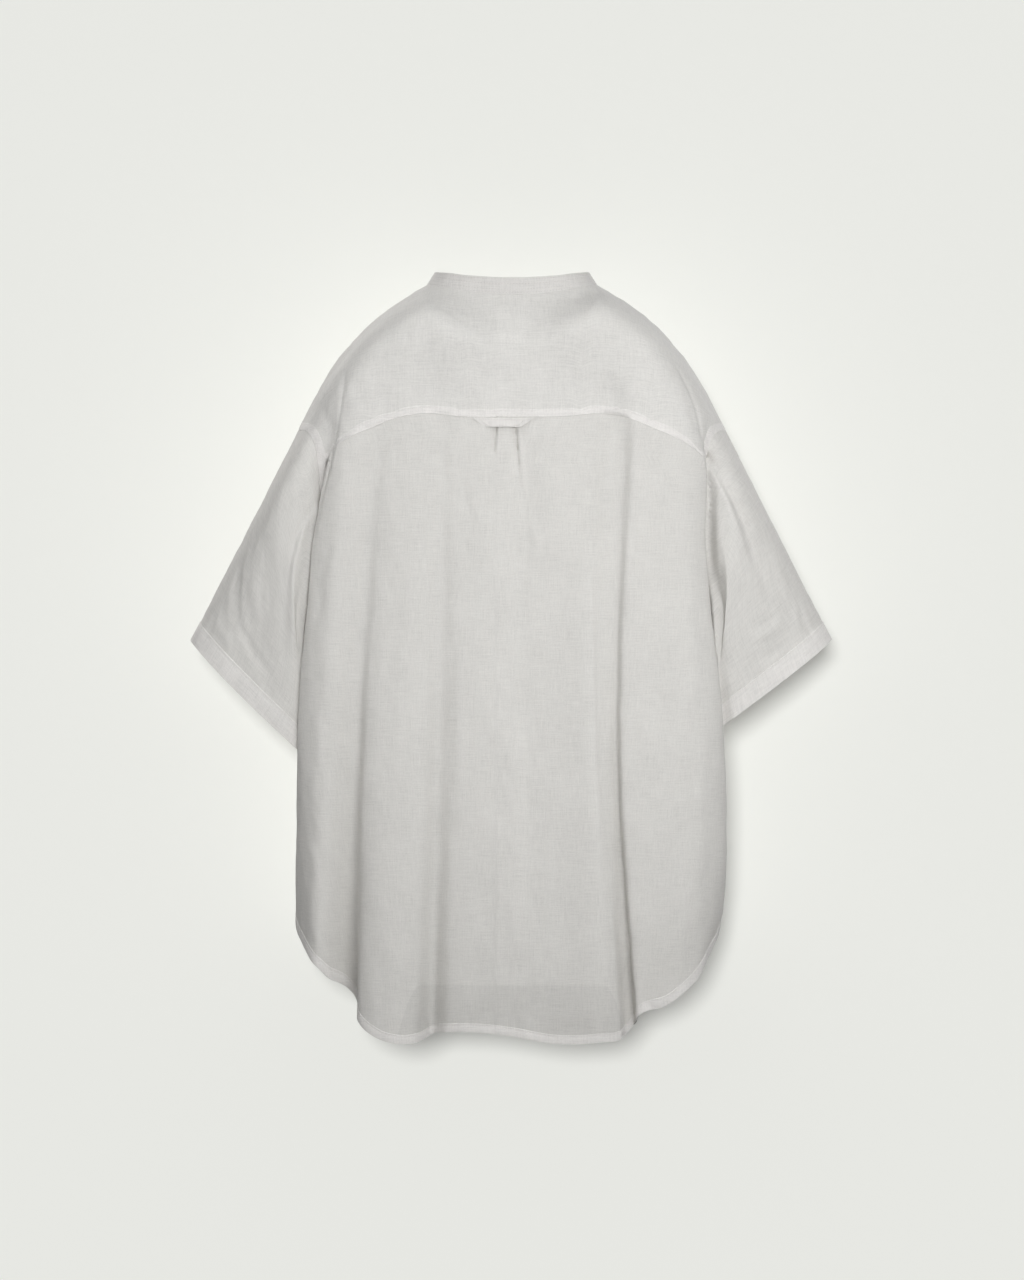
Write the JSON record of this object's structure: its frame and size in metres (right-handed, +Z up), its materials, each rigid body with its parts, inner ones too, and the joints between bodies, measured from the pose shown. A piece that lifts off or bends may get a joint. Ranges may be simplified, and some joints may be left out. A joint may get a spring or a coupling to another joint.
{
  "type": "mandarin collar shirt",
  "caption": "Oversized linen shirt with a band collar, drop shoulders, half sleeves, a back yoke with a locker loop and a shirt-tail hem, hollow as worn.",
  "frame": {"origin": "middle of the neck opening, level with the collar seam at the back", "axes": "+Z up, +X to the wearer's left, the front of the shirt faces -Y"},
  "size_m": [0.6684, 0.2558, 0.7997],
  "materials": {
    "linen": "plain-weave linen, matt, off-white",
    "label": "plain woven label, blank",
    "button": "off-white shell look, half gloss"
  },
  "bodies": {
    "root": {"back": "linen", "yoke": "linen", "front_left": "linen", "front_right": "linen", "placket": "linen", "sleeve_left": "linen", "sleeve_right": "linen", "collar_band": "linen", "locker_loop": "linen", "neck_label": "label", "button_collar": "button", "button_1": "button", "button_2": "button", "button_3": "button", "button_4": "button", "button_5": "button", "button_6": "button", "button_7": "button"}
  },
  "joints": []
}
